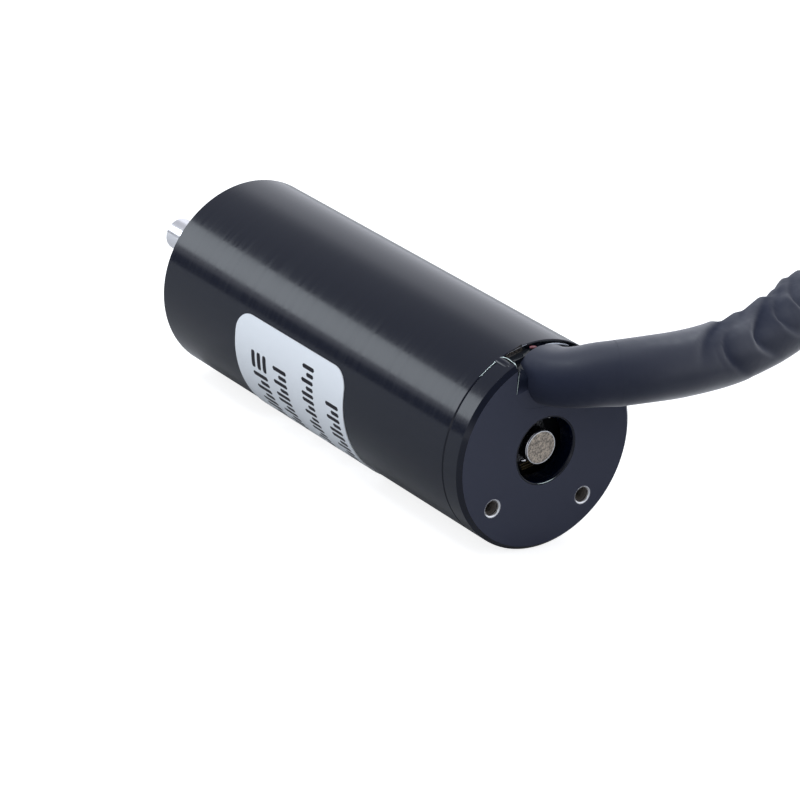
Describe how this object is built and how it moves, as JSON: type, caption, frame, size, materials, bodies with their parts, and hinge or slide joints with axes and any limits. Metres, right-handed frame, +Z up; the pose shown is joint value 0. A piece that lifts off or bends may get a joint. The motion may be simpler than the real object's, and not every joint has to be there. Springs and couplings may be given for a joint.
{
  "type": "brushless coreless motor",
  "caption": "Slim round brushless motor with a slotless winding, a plain output shaft, tapped faces and a sleeved lead out of a slot in its rear cap.",
  "frame": {"origin": "centre of the front mounting face", "axes": "+X out of the front along the shaft, +Z up through the cable slot of the rear cap, the motor lying on its side"},
  "size_m": [0.1228, 0.1128, 0.0274],
  "materials": {
    "anodised_black": "black anodised, satin",
    "label_film": "printed film, satin",
    "bearing_steel": "ground",
    "ball_steel": "polished",
    "cage_brass": "pressed",
    "spring_steel": "rolled",
    "plain_aluminium": "turned",
    "shaft_steel": "ground",
    "magnet_grey": "ground, plated",
    "balance_brass": "turned",
    "lamination_steel": "bonded sheets",
    "liner_film": "clear amber film",
    "winding_copper": "enamelled copper",
    "board_green": "solder mask",
    "board_black": "black solder mask",
    "sensor_black": "moulded",
    "contact_gold": "gold plated",
    "solder_tin": "flowed solder",
    "wire_red": "insulation",
    "wire_dark": "insulation",
    "glue_clear": "clear glue",
    "sleeve_black": "shrunk sleeve, satin",
    "connector_black": "moulded, satin"
  },
  "bodies": {
    "stator": {"housing": "anodised_black", "front_flange": "anodised_black", "rear_cap": "anodised_black", "label": "label_film", "front_bearing_outer": "bearing_steel", "front_bearing_shields": "spring_steel", "rear_bearing_outer": "bearing_steel", "rear_bearing_shields": "spring_steel", "wave_spring": "spring_steel", "rear_bearing_carrier": "plain_aluminium", "lamination_stack": "lamination_steel", "insulation_liner": "liner_film", "coil_winding": "winding_copper", "coil_leads": "winding_copper", "hall_board": "board_green", "hall_sensors": "sensor_black", "board_pins": "contact_gold", "terminal_board": "board_black", "solder_joints": "solder_tin", "phase_wires": "wire_red", "sensor_wires": "wire_dark", "adhesive": "glue_clear", "lead_root": "sleeve_black", "lead_tube": "sleeve_black", "lead_wires": "wire_dark", "connector_housing": "connector_black", "connector_contacts": "contact_gold"},
    "rotor": {"shaft": "shaft_steel", "rotor_magnet": "magnet_grey", "front_balance_ring": "balance_brass", "rear_balance_ring": "balance_brass", "front_spacer": "bearing_steel", "rear_spacer": "bearing_steel", "front_bearing_inner": "bearing_steel", "rear_bearing_inner": "bearing_steel"},
    "front_cage": {"front_bearing_balls": "ball_steel", "front_bearing_cage": "cage_brass"},
    "rear_cage": {"rear_bearing_balls": "ball_steel", "rear_bearing_cage": "cage_brass"}
  },
  "joints": [
    {"name": "rotor_spin", "type": "hinge", "parent": "stator", "child": "rotor", "pos_m": [0, 0, 0], "axis": [1, 0, 0], "continuous": true},
    {"name": "front_cage_spin", "type": "hinge", "parent": "stator", "child": "front_cage", "pos_m": [-0.005, 0, 0], "axis": [1, 0, 0], "continuous": true},
    {"name": "rear_cage_spin", "type": "hinge", "parent": "stator", "child": "rear_cage", "pos_m": [-0.0518, 0, 0], "axis": [1, 0, 0], "continuous": true}
  ],
  "couplings": [
    {"joint": "front_cage_spin", "follows": "rotor_spin", "ratio": 0.38571},
    {"joint": "rear_cage_spin", "follows": "rotor_spin", "ratio": 0.38571}
  ]
}
